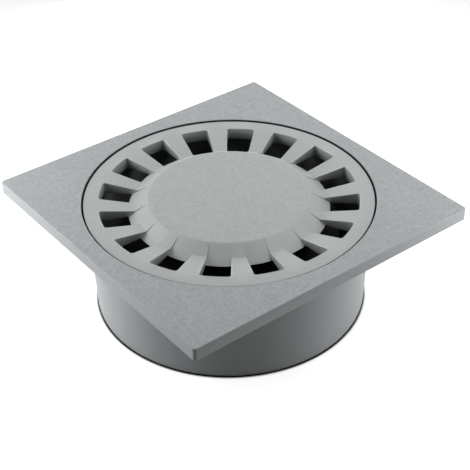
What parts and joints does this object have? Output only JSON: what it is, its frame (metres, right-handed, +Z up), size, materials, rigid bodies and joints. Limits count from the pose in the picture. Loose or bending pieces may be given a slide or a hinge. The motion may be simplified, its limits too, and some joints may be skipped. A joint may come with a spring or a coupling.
{
  "type": "yard drain",
  "caption": "Square-plated plastic yard drain: round tub with a vertical outlet socket, loose slotted grate with a closed centre disc, and a bell trap.",
  "frame": {"origin": "centre of the tub's underside, on the drain's axis", "axes": "+Z up along the drain's axis, X and Y square to the plate's sides"},
  "size_m": [0.2, 0.2, 0.071],
  "materials": {
    "body_pvc": "fine moulded stipple on the plate, smooth satin below",
    "grate_pvc": "fine moulded stipple on the disc, smooth satin rim and ribs",
    "bell_pvc": "smooth satin, as moulded in dark PVC"
  },
  "bodies": {
    "root": {"body": "body_pvc", "grate": "grate_pvc", "bell": "bell_pvc"}
  },
  "joints": []
}
